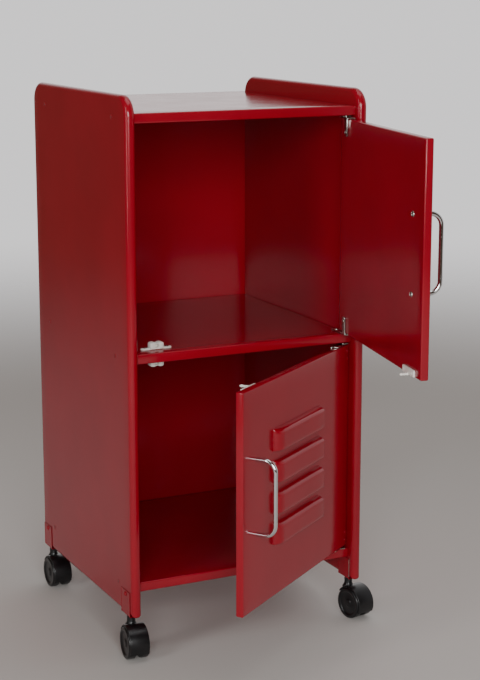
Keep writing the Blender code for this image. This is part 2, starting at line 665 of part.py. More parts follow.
swivels = {}
wheel_spins = {}
for row in ("front", "rear"):
    for side, sign in (("left", -1.0), ("right", 1.0)):
        corner = f"{row}_{side}"
        depth = castor_depths[row]
        across = sign * (WIDTH - SIDE_THICKNESS) / 2
        ends = (depth - BRACKET_LENGTH / 2, depth + BRACKET_LENGTH / 2)
        channel = prism_mesh(f"bracket_{corner}", bracket_outline(sign), "Y", *ends)
        bracket = add_object(f"castor_bracket_{corner}", channel, LACQUER, root)
        under = SIDE_BOTTOM - JOINT_GAP - BRACKET_THICKNESS
        boss = rod_mesh("boss", BOSS_RADIUS, under - BOSS_HEIGHT, under + BRACKET_THICKNESS / 2, "Z", (across, depth), 16)
        join(bracket, boss, root)
        reach = (under - CUTTER_OVERRUN, under + CUTTER_OVERRUN)
        hole = rod_mesh("stem_hole", STEM_RADIUS + PIN_CLEARANCE, *reach, "Z", (across, depth), 16)
        cut(bracket, hole, root)
        reach = sorted((sign * (WIDTH / 2 - JOINT_GAP), sign * (WIDTH / 2 + CUTTER_OVERRUN)))
        hole = rod_mesh("screw_hole", SCREW_RADIUS + PIN_CLEARANCE, *reach, "X", (depth, screw_level), 12)
        cut(bracket, hole, root)
        head = sign * (WIDTH / 2 + 2 * JOINT_GAP + BRACKET_THICKNESS)
        turn = 0.0 if sign > 0 else math.pi
        place = (head, depth, screw_level)
        add_object(f"bracket_screw_{corner}", shared_bracket_screw, LACQUER, root, place, turn)
        add_object(f"castor_stem_{corner}", shared_stem, STEEL, root, (across, depth, 0.0))

        heading = TRAIL_DIRECTIONS[corner] - math.pi / 2
        swivel = add_empty(f"{corner}_swivel", root, (across, depth, 0.0), heading)
        swivels[corner] = swivel
        add_object(f"castor_hood_{corner}", shared_hood, BLACK, swivel)
        axle_at = (0.0, CASTOR_TRAIL, WHEEL_RADIUS)
        add_object(f"castor_axle_{corner}", shared_axle, STEEL, swivel, axle_at)
        reach = WHEEL_SPACE / 2 + WHEEL_WIDTH / 2
        for hand, way, facing in (("a", -1.0, math.pi), ("b", 1.0, 0.0)):
            spin = add_empty(f"{corner}_spin_{hand}", swivel, (way * reach, CASTOR_TRAIL, WHEEL_RADIUS))
            wheel_spins[f"{corner}_{hand}"] = spin
            add_object(f"castor_wheel_{corner}_{hand}", shared_wheel, BLACK, spin, (0.0, 0.0, 0.0), facing)


# the middle of the whole outline, as it stands with its doors open, goes over the origin -------
bpy.context.view_layer.update()
graph = bpy.context.evaluated_depsgraph_get()
corners = []
for item in scene.objects:
    if item.type == "MESH" and not item.hide_render:
        shown = item.evaluated_get(graph)
        mesh = shown.to_mesh()
        points = np.empty(len(mesh.vertices) * 3)
        mesh.vertices.foreach_get("co", points)
        place = np.array(shown.matrix_world)
        points = points.reshape(-1, 3) @ place[:3, :3].T + place[:3, 3]
        corners.append(points.min(axis=0))
        corners.append(points.max(axis=0))
        shown.to_mesh_clear()
corners = np.array(corners)
lowest = corners.min(axis=0)
highest = corners.max(axis=0)
middle = (lowest + highest) / 2
root.location = (-middle[0], -middle[1], -lowest[2])
bpy.context.view_layer.update()
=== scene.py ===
import json
import math

import bmesh
import bpy
import numpy as np
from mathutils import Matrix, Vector


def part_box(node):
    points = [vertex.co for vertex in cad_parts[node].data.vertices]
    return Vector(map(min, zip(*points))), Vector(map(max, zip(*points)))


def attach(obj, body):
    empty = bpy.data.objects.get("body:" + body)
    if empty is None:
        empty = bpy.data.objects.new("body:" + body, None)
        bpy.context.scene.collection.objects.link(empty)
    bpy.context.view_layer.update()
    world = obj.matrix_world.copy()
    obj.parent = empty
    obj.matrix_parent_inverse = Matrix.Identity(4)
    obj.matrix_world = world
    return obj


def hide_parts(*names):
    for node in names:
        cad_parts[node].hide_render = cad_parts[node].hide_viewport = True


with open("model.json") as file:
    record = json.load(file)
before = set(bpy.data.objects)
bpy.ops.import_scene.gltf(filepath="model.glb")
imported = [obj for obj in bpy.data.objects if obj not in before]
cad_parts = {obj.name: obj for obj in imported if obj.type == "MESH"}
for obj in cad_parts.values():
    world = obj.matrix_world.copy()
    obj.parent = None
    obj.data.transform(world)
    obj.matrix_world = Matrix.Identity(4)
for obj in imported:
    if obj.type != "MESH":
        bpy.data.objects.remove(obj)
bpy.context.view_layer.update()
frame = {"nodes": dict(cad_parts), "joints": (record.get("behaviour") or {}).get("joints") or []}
jointByName = {joint["name"]: joint for joint in frame["joints"]}
print("frame loaded")


# A red lacquered locker cabinet on castors. Lengths are in metres and angles in degrees.

def cornersOf(node):
    # a CAD node's lowest and highest corners
    low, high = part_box(node)
    return np.array(low), np.array(high)


def sizeAndCentre(node):
    low, high = cornersOf(node)
    return high - low, (low + high) / 2


leftLow = cornersOf("left_side_panel")[0]
rightHigh = cornersOf("right_side_panel")[1]
cabinetFront = leftLow[1]
outerFace = {-1: leftLow[0], 1: rightHigh[0]}   # x of the sides' outer faces


def toLinear(hexColour):
    # sRGB to linear light: c / 12.92 near black, ((c + 0.055) / 1.055) ^ 2.4 above
    srgb = np.array([int(hexColour[i:i + 2], 16) for i in (1, 3, 5)]) / 255.0
    linear = np.where(srgb <= 0.04045, srgb / 12.92, ((srgb + 0.055) / 1.055) ** 2.4)
    return (*map(float, linear), 1.0)


def addNode(tree, kind, settings=None, links=None):
    # settings are attributes or sockets of the new node, links are its sockets and what feeds them
    node = tree.nodes.new(kind)
    for key, value in (settings or {}).items():
        if isinstance(key, str) and hasattr(node, key):
            setattr(node, key, value)
        else:
            node.inputs[key].default_value = value
    for socket, output in (links or {}).items():
        tree.links.new(output, node.inputs[socket])
    return node


def newMaterial(name):
    material = bpy.data.materials.new(name)
    material.use_nodes = True
    tree = material.node_tree
    shader = tree.nodes["Principled BSDF"]
    where = tree.nodes.new("ShaderNodeTexCoord").outputs["Object"]
    return material, tree, shader, where


def noiseScale(millimetres):
    # noise has about one blob in each unit, so a blob of this size needs 1000 / size units in a metre
    return 1000.0 / millimetres


def gridFaces(rows, columns, wrapped, start):
    # quads between neighbouring points of a grid whose points are numbered row by row
    lastColumn = columns if wrapped else columns - 1
    row, column = np.meshgrid(np.arange(rows - 1), np.arange(lastColumn), indexing="ij")
    after = (column + 1) % columns
    quads = np.stack((row * columns + column, row * columns + after,
                      (row + 1) * columns + after, (row + 1) * columns + column), axis=-1)
    return quads.reshape(-1, 4) + start


def closed(grid):
    # a patch whose rings close and which has a cap at both ends
    return grid, True, ("low", "high")


def seated(grid):
    # a patch whose rings close, capped only at the end that sits on something
    return grid, True, ("high",)


def makePiece(name, patches, material, body, stands=(), sharp=32.0):
    # one object from patches: a grid of points, whether its rings close, and which ends are capped
    points = []
    faces = []
    count = 0
    for grid, wrapped, caps in patches:
        rows, columns = grid.shape[:2]
        points.append(grid.reshape(-1, 3))
        faces += gridFaces(rows, columns, wrapped, count).tolist()
        if "low" in caps:
            faces.append(list(range(count, count + columns))[::-1])
        if "high" in caps:
            last = count + (rows - 1) * columns
            faces.append(list(range(last, last + columns)))
        count += rows * columns
    mesh = bpy.data.meshes.new(name)
    mesh.from_pydata(np.concatenate(points).tolist(), [], faces)
    shape = bmesh.new()
    shape.from_mesh(mesh)
    bmesh.ops.remove_doubles(shape, verts=shape.verts, dist=2e-6)
    bmesh.ops.dissolve_degenerate(shape, edges=shape.edges, dist=1e-6)
    bmesh.ops.recalc_face_normals(shape, faces=shape.faces)
    shape.to_mesh(mesh)
    shape.free()
    mesh.shade_smooth()
    mesh.set_sharp_from_angle(angle=math.radians(sharp))
    mesh.materials.append(material)
    piece = bpy.data.objects.new(name, mesh)
    bpy.context.scene.collection.objects.link(piece)
    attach(piece, body)
    if stands:
        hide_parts(*stands)
    return piece


def placed(points, origin, across, up=(0.0, 0.0, 1.0)):
    # turns points so that their x runs along across and their z along up, and moves them to origin
    x = np.array(across, float) / np.linalg.norm(across)
    z = np.array(up, float) / np.linalg.norm(up)
    y = np.cross(z, x)
    return points @ np.stack((x, y, z)) + np.array(origin, float)


def arc(start, end, steps):
    return np.radians(np.linspace(start, end, steps + 1))


def boardSurface(size, corners, lowEdge, highEdge, cornerSteps=8, edgeSteps=6, inset=0.03):
    # A board lying in x and y, its thickness along z. Each ring is the outline moved inwards by
    # a distance d at a height h. From the bottom face to the top face, (d, h) follows a quarter
    # circle at each edge, and a corner of radius r has radius r - d in the ring d inside.
    half = np.array(size) / 2
    low, high = (max(edge, 1e-4) for edge in (lowEdge, highEdge))
    turn = arc(0, 90, edgeSteps)
    distance = np.concatenate(([inset], low * (1 - np.sin(turn)), high * (1 - np.cos(turn)), [inset]))
    level = np.concatenate(([-half[2]], -half[2] + low * (1 - np.cos(turn)),
                            half[2] - high * (1 - np.sin(turn)), [half[2]]))
    rings = []
    for quarter, (signX, signY) in enumerate(((1, 1), (-1, 1), (-1, -1), (1, -1))):
        angle = arc(90 * quarter, 90 * quarter + 90, cornerSteps)
        radius = np.maximum(corners[quarter] - distance, 1e-5)[:, None]
        centreX = signX * (half[0] - distance[:, None] - radius)
        centreY = signY * (half[1] - distance[:, None] - radius)
        ring = (centreX + radius * np.cos(angle), centreY + radius * np.sin(angle),
                np.broadcast_to(level[:, None], (len(level), len(angle))))
        rings.append(np.stack(ring, axis=-1))
    return np.concatenate(rings, axis=1)


def standing(flat):
    # stands a lying board up: its length stays along x, its width turns to z, its thickness to y
    return np.stack((flat[..., 0], flat[..., 2], flat[..., 1]), axis=-1)


def tubeSurface(path, radius, sides=20):
    # a circle carried along a path that lies in one plane, each ring square to the path's direction
    along = np.gradient(path, axis=0)
    along[0] = path[1] - path[0]
    along[-1] = path[-1] - path[-2]
    along /= np.linalg.norm(along, axis=1)[:, None]
    spread = path.max(axis=0) - path.min(axis=0)
    side = np.broadcast_to(np.eye(3)[int(np.argmin(spread))], path.shape)
    other = np.cross(along, side)
    angle = np.linspace(0, 2 * np.pi, sides, endpoint=False)[None, :, None]
    return path[:, None] + radius * (side[:, None] * np.cos(angle) + other[:, None] * np.sin(angle))


def turnedSurface(profile, sides=48):
    # a profile of (radius, height) spun about z
    profile = np.array(profile, float)
    angle = np.linspace(0, 2 * np.pi, sides, endpoint=False)
    radius = np.maximum(profile[:, :1], 1e-6)
    height = np.broadcast_to(profile[:, 1:2], (len(profile), sides))
    return np.stack((radius * np.cos(angle), radius * np.sin(angle), height), axis=-1)


crossRecess = {             # in shares of the head's radius and height
    "armHalf": 0.13,
    "armWall": 0.05,
    "reach": 0.62,
    "reachWall": 0.08,
    "depth": 0.55,
    "rimHeight": 0.35,
}


def screwSurface(radius, height, drive=True, sides=40):
    # A screw head at a share r of its radius: height (rim + (1 - rim)(1 - r^3)), less a cross
    # whose walls slope from full depth to none over a short way.
    share = np.concatenate((np.linspace(0.0, 1.0, 15), [1.0]))
    angle = np.linspace(0, 2 * np.pi, sides, endpoint=False)
    r, a = np.meshgrid(share, angle, indexing="ij")
    rim = crossRecess["rimHeight"]
    top = height * (rim + (1 - rim) * (1 - r ** 3))
    if drive:
        arm = np.minimum(np.abs(np.sin(a)), np.abs(np.cos(a))) * r
        across = np.clip((crossRecess["armHalf"] - arm) / crossRecess["armWall"], 0, 1)
        outwards = np.clip((crossRecess["reach"] - r) / crossRecess["reachWall"], 0, 1)
        top = top - crossRecess["depth"] * height * across * outwards
    top[-1] = 0.0
    return np.stack((radius * r * np.cos(a), radius * r * np.sin(a), top), axis=-1)


def lacquerMaterial(name, colour, roughness):
    # Sprayed and polished lacquer, made in thin coats: a deep even red with a faint cloudiness,
    # clear mirrored light, and a soft orange-peel ripple.
    material, tree, shader, where = newMaterial(name)
    cloud = addNode(tree, "ShaderNodeTexNoise",
                    {"Scale": noiseScale(143), "Detail": 3.0, "Roughness": 0.55}, {"Vector": where})
    base = np.array(toLinear(colour)[:3])
    ramp = addNode(tree, "ShaderNodeValToRGB", {}, {"Fac": cloud.outputs["Fac"]})
    ramp.color_ramp.elements[0].position = 0.3
    ramp.color_ramp.elements[1].position = 0.7
    ramp.color_ramp.elements[0].color = (*map(float, base * 0.93), 1.0)
    ramp.color_ramp.elements[1].color = (*map(float, base * 1.06), 1.0)
    tree.links.new(ramp.outputs["Color"], shader.inputs["Base Color"])
    smear = addNode(tree, "ShaderNodeTexNoise",
                    {"Scale": noiseScale(62.5), "Detail": 4.0, "Roughness": 0.6}, {"Vector": where})
    gloss = addNode(tree, "ShaderNodeMapRange",
                    {"From Min": 0.3, "From Max": 0.7, "To Min": roughness * 0.85, "To Max": roughness * 1.2},
                    {"Value": smear.outputs["Fac"]})
    tree.links.new(gloss.outputs["Result"], shader.inputs["Roughness"])
    peel = addNode(tree, "ShaderNodeTexNoise", {"Scale": noiseScale(2.38), "Detail": 1.0},
                   {"Vector": where})
    bump = addNode(tree, "ShaderNodeBump", {"Strength": 0.05, "Distance": 0.0002},
                   {"Height": peel.outputs["Fac"]})
    tree.links.new(bump.outputs["Normal"], shader.inputs["Normal"])
    shader.inputs["IOR"].default_value = 1.47
    return material


def chromeMaterial():
    # polished chrome plate on a bent bar: mirror-bright, with a few fine polishing marks
    material, tree, shader, where = newMaterial("polishedChrome")
    shader.inputs["Base Color"].default_value = toLinear("#D9DADC")
    shader.inputs["Metallic"].default_value = 1.0
    marks = addNode(tree, "ShaderNodeTexNoise", {"Scale": noiseScale(3.85), "Detail": 3.0},
                    {"Vector": where})
    gloss = addNode(tree, "ShaderNodeMapRange",
                    {"From Min": 0.35, "From Max": 0.75, "To Min": 0.05, "To Max": 0.14},
                    {"Value": marks.outputs["Fac"]})
    tree.links.new(gloss.outputs["Result"], shader.inputs["Roughness"])
    return material


def plateMaterial():
    # pressed steel with bright nickel plate: a grey mirror, broken by a faint mottle and rubbing marks
    material, tree, shader, where = newMaterial("brightPlate")
    mottle = addNode(tree, "ShaderNodeTexNoise", {"Scale": noiseScale(4.55), "Detail": 4.0},
                     {"Vector": where})
    ramp = addNode(tree, "ShaderNodeValToRGB", {}, {"Fac": mottle.outputs["Fac"]})
    ramp.color_ramp.elements[0].position = 0.3
    ramp.color_ramp.elements[1].position = 0.7
    ramp.color_ramp.elements[0].color = toLinear("#A3A19C")
    ramp.color_ramp.elements[1].color = toLinear("#C4C2BC")
    tree.links.new(ramp.outputs["Color"], shader.inputs["Base Color"])
    shader.inputs["Metallic"].default_value = 1.0
    gloss = addNode(tree, "ShaderNodeMapRange", {"To Min": 0.07, "To Max": 0.26},
                    {"Value": mottle.outputs["Fac"]})
    tree.links.new(gloss.outputs["Result"], shader.inputs["Roughness"])
    return material


def plasticMaterial(name, colour, colourWorn, roughness, grainSize, grainStrength):
    # moulded plastic: a slight change of tone through the part and the fine grain of a spark-eroded
    # mould, grainSize millimetres across
    material, tree, shader, where = newMaterial(name)
    tone = addNode(tree, "ShaderNodeTexNoise", {"Scale": noiseScale(16.7), "Detail": 3.0}, {"Vector": where})
    ramp = addNode(tree, "ShaderNodeValToRGB", {}, {"Fac": tone.outputs["Fac"]})
    ramp.color_ramp.elements[0].position = 0.3
    ramp.color_ramp.elements[1].position = 0.7
    ramp.color_ramp.elements[0].color = toLinear(colour)
    ramp.color_ramp.elements[1].color = toLinear(colourWorn)
    tree.links.new(ramp.outputs["Color"], shader.inputs["Base Color"])
    gloss = addNode(tree, "ShaderNodeMapRange", {"To Min": roughness * 0.8, "To Max": roughness * 1.2},
                    {"Value": tone.outputs["Fac"]})
    tree.links.new(gloss.outputs["Result"], shader.inputs["Roughness"])
    grain = addNode(tree, "ShaderNodeTexNoise", {"Scale": noiseScale(grainSize), "Detail": 2.0},
                    {"Vector": where})
    bump = addNode(tree, "ShaderNodeBump", {"Strength": grainStrength, "Distance": 0.0001},
                   {"Height": grain.outputs["Fac"]})
    tree.links.new(bump.outputs["Normal"], shader.inputs["Normal"])
    shader.inputs["IOR"].default_value = 1.49
    return material


redLacquer = lacquerMaterial("redLacquer", "#960F22", 0.14)
redPaintedSteel = lacquerMaterial("redPaintedSteel", "#960F21", 0.22)   # the same red, less glossy
polishedChrome = chromeMaterial()
brightPlate = plateMaterial()
whiteAcetal = plasticMaterial("whiteAcetal", "#EFECE6", "#E4E0D8", 0.32, 1.11, 0.05)
blackNylon = plasticMaterial("blackNylon", "#0B0B0D", "#131315", 0.30, 0.714, 0.06)
# near-black tone for the sockets in the bolt heads: painted shade standing in for a deep recess
socketShadeDark = plasticMaterial("socketShadeDark", "#1B0506", "#2A0A0A", 0.5, 1.11, 0.1)   # inside the bolt heads
print("finishes ready")

carcass = {
    "sideCorners": (0.030, 0.030, 0.003, 0.003),   # the sides' two top corners, then the two at the foot
    "sideEdge": 0.0072,                            # nearly a full bullnose on 16 mm board
    "boardCorner": 0.0015,
    "boardEdge": 0.0022,
    "seat": 0.00035,                               # boards butt against the sides
    "backCorner": 0.0008,
    "backEdge": 0.0006,
    "groove": 0.002,                               # the back stands this deep in the sides and boards
}
bolt = {
    "fromFront": (0.055, 0.343),
    "head": [(0.0, 0.00005), (0.0016, 0.00005), (0.0017, 0.00032), (0.0026, 0.00042),
             (0.0032, 0.00032), (0.0035, 0.00010), (0.0036, -0.0002)],
    # the socket is a flat disc just above the head's floor, coloured near-black as painted shade
    "socket": [(0.0, 0.00012), (0.00155, 0.00012), (0.00168, 0.00008), (0.00168, -0.0002)],
}

for side in ("left", "right"):
    size, centre = sizeAndCentre(f"{side}_side_panel")
    flat = boardSurface((size[1], size[2], size[0]), carcass["sideCorners"],
                        carcass["sideEdge"], carcass["sideEdge"], 14, 8)
    upright = np.stack((flat[..., 2], flat[..., 0], flat[..., 1]), axis=-1) + centre
    makePiece(f"{side}Side", [closed(upright)], redLacquer, "cabinet",
              [f"{side}_side_panel"])

boards = {"top_board": "topBoard", "middle_shelf": "middleShelf", "bottom_shelf": "bottomShelf"}
for node, label in boards.items():
    size, centre = sizeAndCentre(node)
    size = size + (carcass["seat"] * 2, 0.0, 0.0)
    lying = boardSurface(size, [carcass["boardCorner"]] * 4, carcass["boardEdge"], carcass["boardEdge"], 3, 5)
    makePiece(label, [closed(lying + centre)], redLacquer, "cabinet", [node])

size, centre = sizeAndCentre("back_panel")
backWidth = size[0] + 2 * (carcass["seat"] + carcass["groove"])
backHeight = size[2] + 2 * carcass["groove"]
flat = boardSurface((backWidth, backHeight, size[1]), [carcass["backCorner"]] * 4,
                    carcass["backEdge"], carcass["backEdge"], 3, 3)
makePiece("backPanel", [closed(standing(flat) + centre)], redLacquer, "cabinet",
          ["back_panel"])

# the bolts that hold each board show on the sides as low painted heads with a six-sided socket; the socket is
# a flat six-sided disc in a near-black tone, painted shade standing in for its depth
heads = []
sockets = []
for node in boards:
    level = sizeAndCentre(node)[1][2]
    for sign, face in outerFace.items():
        for inset in bolt["fromFront"]:
            spot = (face, cabinetFront + inset, level)
            heads.append(seated(placed(turnedSurface(bolt["head"], 24), spot, (0, 1, 0), (sign, 0, 0))))
            sockets.append(seated(placed(turnedSurface(bolt["socket"], 6), spot, (0, 1, 0), (sign, 0, 0))))
makePiece("shelfBolts", heads, redPaintedSteel, "cabinet")
makePiece("shelfBoltSocketShade", sockets, socketShadeDark, "cabinet")
print("carcass built")

doorSizes = {
    "open": {"upper": 78.7, "lower": 36.3},   # degrees from shut
    "thickness": 0.012,
    "width": 0.3625,
    "height": 0.3331,
    "hingeEdge": 0.008,       # from the pivot line to the door's hinge edge
    "corner": 0.0018,
    "edge": 0.0022,
}
handleSizes = {
    "fromHinge": 0.320,       # from the door's hinge edge
    "spacing": 0.112,
    "reach": 0.030,
    "radius": 0.0035,
    "bend": 0.017,
    "above": 0.0035,          # above the door's middle
    "foot": 0.004,            # straight out of the door before the bend
    "screwRadius": 0.0042,
    "screwHeight": 0.0022,
}
louvreSizes = {
    "count": 4,
    "pitch": 0.0476,
    "fromHinge": 0.110,
    "length": 0.159,
    "height": 0.0335,
    "rise": 0.012,
    "hingeRun": 0.005,        # the end by the hinge is nearly square, the end by the handle is long and soft
    "handleRun": 0.018,
    "topRun": 0.0068,
    "lowRun": 0.0016,
    "above": 0.0035,          # above the door's middle
    "sunk": 0.0002,           # the foot's depth in the door's face
}


def doorPlace(level, points):
    # from the door's frame to where it stands: x from the pivot towards +X when shut, y inwards,
    # z from its bottom edge
    pivot = jointByName[f"{level}_door_hinge"]["pos_m"]
    angle = math.radians(doorSizes["open"][level])
    return placed(points, pivot, (math.cos(angle), math.sin(angle), 0.0))


def easedRun(length, lowRun, highRun, steps):
    # places along a length, and the height there: a quarter ellipse at each end and 1 between
    turn = arc(0, 90, steps)
    lowPart = lowRun * (1 - np.cos(turn))
    highPart = length - highRun * (1 - np.cos(turn[::-1]))
    place = np.concatenate((lowPart, np.linspace(lowPart[-1], highPart[0], 6)[1:-1], highPart))
    height = np.concatenate((np.sin(turn), np.ones(4), np.sin(turn[::-1])))
    return place, height


def louvreSurface(low):
    # one louvre over (along, up): rise times the eased run along times the eased run up, so that
    # every wall stands upright at its foot
    sizes = louvreSizes
    along, alongHeight = easedRun(sizes["length"], sizes["hingeRun"], sizes["handleRun"], 14)
    up, upHeight = easedRun(sizes["height"], sizes["lowRun"], sizes["topRun"], 10)
    x, z = np.meshgrid(doorSizes["hingeEdge"] - sizes["fromHinge"] - along, low + up, indexing="ij")
    rise = sizes["rise"] * alongHeight[:, None] * upHeight[None, :]
    return np.stack((x, sizes["sunk"] - doorSizes["thickness"] / 2 - rise, z), axis=-1)


def handlePath():
    # straight out of the door, round a quarter circle, along, round another and back in
    top, bend, foot = handleSizes["spacing"] / 2, handleSizes["bend"], handleSizes["foot"]
    flatOut = handleSizes["reach"] - bend
    lowTurn, highTurn = arc(-90, 0, 12), arc(0, 90, 12)
    out = np.concatenate(([0.0, foot], flatOut + bend * np.cos(lowTurn),
                          flatOut + bend * np.cos(highTurn), [foot, 0.0]))
    up = np.concatenate(([-top, -top], -top + bend + bend * np.sin(lowTurn),
                         top - bend + bend * np.sin(highTurn), [top, top]))
    return np.stack((np.zeros_like(out), -out, up), axis=-1)


doorEdge = doorSizes["hingeEdge"]
doorFace = doorSizes["thickness"] / 2    # the inner face's y; the outer face is at minus this

for level in ("upper", "lower"):
    body = f"{level}_door"
    size = (doorSizes["width"], doorSizes["height"], doorSizes["thickness"])
    flat = boardSurface(size, [doorSizes["corner"]] * 4, doorSizes["edge"], doorSizes["edge"], 4, 6)
    panel = standing(flat) + (doorEdge - size[0] / 2, 0.0, size[1] / 2)
    makePiece(f"{level}DoorPanel", [closed(doorPlace(level, panel))], redLacquer, body,
              [f"{level}_door_panel"])

    stack = louvreSizes["pitch"] * (louvreSizes["count"] - 1) + louvreSizes["height"]
    lowest = (size[1] - stack) / 2 + louvreSizes["above"]
    louvres = []
    for index in range(louvreSizes["count"]):
        louvre = louvreSurface(lowest + index * louvreSizes["pitch"])
        louvres.append((doorPlace(level, louvre), False, ()))
    makePiece(f"{level}DoorLouvres", louvres, redLacquer, body, sharp=60)

    gripX = doorEdge - handleSizes["fromHinge"]
    gripZ = size[1] / 2 + handleSizes["above"]
    bow = tubeSurface(handlePath(), handleSizes["radius"], 24) + (gripX, -doorFace, gripZ)
    makePiece(f"{level}Handle", [closed(doorPlace(level, bow))], polishedChrome, body,
              [f"{level}_door_handle"])
    for end, sign in (("bottom", -1), ("top", 1)):
        spot = (gripX, doorFace, gripZ + sign * handleSizes["spacing"] / 2)
        head = placed(screwSurface(handleSizes["screwRadius"], handleSizes["screwHeight"]),
                      spot, (1, 0, 0), (0, 1, 0))
        makePiece(f"{level}HandleScrew{end.title()}", [seated(doorPlace(level, head))], brightPlate, body,
                  [f"{level}_handle_screw_{end}"], sharp=50)
print("doors built")

hingeSizes = {
    "plateWidth": 0.012,
    "plateThick": 0.0016,
    "plateCorner": 0.0025,
    "plateEdge": 0.0004,
    "pinRadius": 0.002,
    "pinPoint": 0.0006,
    "plateScrews": (0.016, 0.031),      # from the plate's front end
    "plateScrew": (0.0030, 0.0011),     # each screw is a radius and a height
    "legWidth": 0.011,
    "legFromHinge": 0.027,              # from the door's hinge edge
    "legThick": 0.0030,
    "legLength": 0.0265,
    "legCorner": 0.0022,
    "legScrews": (0.0200,),             # from the door's end
    "legScrew": (0.0032, 0.0012),
    "foldOverhang": 0.0045,             # past the door's middle, towards its outer face
    "foldInset": 0.002,
    "gap": 0.0003,
    "faceScrews": (0.010, 0.0225),      # painted heads on the door's face, from its end
    "faceScrew": (0.0029, 0.0012),
    "faceScrewFromHinge": 0.0055,
}


def pivotPlate(node, pivot, way):
    # a flat plate screwed to a board, with a pin standing on it at the pivot
    low, high = cornersOf(node)
    seat, tip = (low[2], high[2]) if way > 0 else (high[2], low[2])
    thick, edge = hingeSizes["plateThick"], hingeSizes["plateEdge"]
    centre = ((low[0] + high[0]) / 2, (low[1] + high[1]) / 2, seat + way * thick / 2)
    plate = boardSurface((hingeSizes["plateWidth"], high[1] - low[1], thick),
                         [hingeSizes["plateCorner"]] * 4, edge, edge, 6, 3, 0.002) + centre
    height, radius, point = abs(tip - seat), hingeSizes["pinRadius"], hingeSizes["pinPoint"]
    profile = [(0.0, 0.0), (radius, 0.0), (radius, height - point), (radius - point, height), (0.0, height)]
    pin = placed(turnedSurface(profile, 24), (pivot[0], pivot[1], seat), (1, 0, 0), (0, 0, way))
    patches = [closed(plate), closed(pin)]
    for inset in hingeSizes["plateScrews"]:
        spot = (centre[0], low[1] + inset, seat + way * thick)
        head = placed(screwSurface(*hingeSizes["plateScrew"]), spot, (1, 0, 0), (0, 0, way))
        patches.append(seated(head))
    return patches


def doorBracket(level, doorEnd, way):
    # the door's half of a hinge: a plate folded over the door's end, with a leg down its inner face
    gap, thick, edge = hingeSizes["gap"], hingeSizes["plateThick"], hingeSizes["plateEdge"]
    corner, legWidth, legThick = hingeSizes["legCorner"], hingeSizes["legWidth"], hingeSizes["legThick"]
    legX = doorEdge - hingeSizes["legFromHinge"]
    inner = doorFace + gap
    lowX, lowY = legX - legWidth, -hingeSizes["foldOverhang"]
    highX, highY = doorEdge - hingeSizes["foldInset"], inner + legThick
    fold = boardSurface((highX - lowX, highY - lowY, thick), [corner] * 4, edge, edge, 6, 3, 0.003)
    fold = fold + ((highX + lowX) / 2, (highY + lowY) / 2, doorEnd - way * (gap + thick / 2))
    length = hingeSizes["legLength"] + gap + thick
    leg = standing(boardSurface((legWidth, length, legThick), [corner] * 4, 0.0005, 0.0007, 6, 4, 0.003))
    leg = leg + (legX - legWidth / 2, inner + legThick / 2, doorEnd + way * (length / 2 - gap - thick))
    patches = [closed(doorPlace(level, fold)), closed(doorPlace(level, leg))]
    for inset in hingeSizes["legScrews"]:
        spot = (legX - legWidth / 2, inner + legThick, doorEnd + way * inset)
        head = placed(screwSurface(*hingeSizes["legScrew"]), spot, (1, 0, 0), (0, 1, 0))
        patches.append(seated(doorPlace(level, head)))
    return patches


for level in ("upper", "lower"):
    body = f"{level}_door"
    pivot = jointByName[f"{level}_door_hinge"]["pos_m"]
    for end, way in (("bottom", 1), ("top", -1)):
        doorEnd = 0.0 if way > 0 else doorSizes["height"]
        node = f"{level}_{end}_pivot_plate"
        makePiece(f"{level}{end.title()}PivotPlate", pivotPlate(node, pivot, way), brightPlate, "cabinet",
                  [node], sharp=50)
        makePiece(f"{level}Door{end.title()}Bracket", doorBracket(level, doorEnd, way), brightPlate, body,
                  [f"{level}_door_{end}_bracket"], sharp=50)
        heads = []
        for inset in hingeSizes["faceScrews"]:
            spot = (doorEdge - hingeSizes["faceScrewFromHinge"], -doorFace, doorEnd + way * inset)
            head = placed(screwSurface(*hingeSizes["faceScrew"], False), spot, (1, 0, 0), (0, -1, 0))
            heads.append(seated(doorPlace(level, head)))
        makePiece(f"{level}Door{end.title()}FaceScrews", heads, redPaintedSteel, body,
                  sharp=50)
print("hinges built")

catchSizes = {
    "width": 0.022,
    "depth": 0.011,
    "height": 0.011,
    "frontEdge": ((0.0, 0.0012), (0.0005, 0.0005), (0.0012, 0.0)),   # (inset, y) round the front edge
    "mouthHalf": (0.0029, 0.0027),
    "mouthLevel": 0.0055,      # the mouth's middle above the board
    "mouthEdge": ((0.0009, 0.0), (0.0003, 0.0002), (0.0, 0.0008)),   # (grown by, y) into the mouth
    "socketDepth": 0.0085,
    "notch": 0.0016,
    "notchHalf": 0.0022,
    "ear": (0.050, 0.008, 0.0025),
    "earCorner": 0.0040,
    "earInset": 0.0015,
    "earScrewFromMiddle": 0.0178,
    "earScrew": (0.0028, 0.0012),
}
keeperSizes = {
    "base": (0.044, 0.010, 0.003),
    "corner": 0.0022,
    "fromHinge": 0.3205,       # from the door's hinge edge to its middle
    "gap": 0.0002,
    "fromEnd": 0.0005,
    "screwFromMiddle": 0.0155,
    "screwFromEnd": 0.0055,
    "screw": (0.0024, 0.0008),
    "tongueLength": 0.0149,
    "tongueHalf": (0.002, 0.0019),
    "tongueFromEnd": 0.0013,
    "tongueSeat": 0.0003,
}


def lobedRing(halfWidth, low, high, notch, count=72, squareness=5.0):
    # a squared-off oval, |x/a|^n + |z/b|^n = 1, dented in the middle of its far side by a bell curve
    angle = np.linspace(0, 2 * np.pi, count, endpoint=False)
    c, s = np.cos(angle), np.sin(angle)
    x = halfWidth * np.sign(c) * np.abs(c) ** (2 / squareness)
    z = (high + low) / 2 + (high - low) / 2 * np.sign(s) * np.abs(s) ** (2 / squareness)
    z = z - np.where(s > 0, notch * np.exp(-(x / catchSizes["notchHalf"]) ** 2), 0.0)
    return x, z


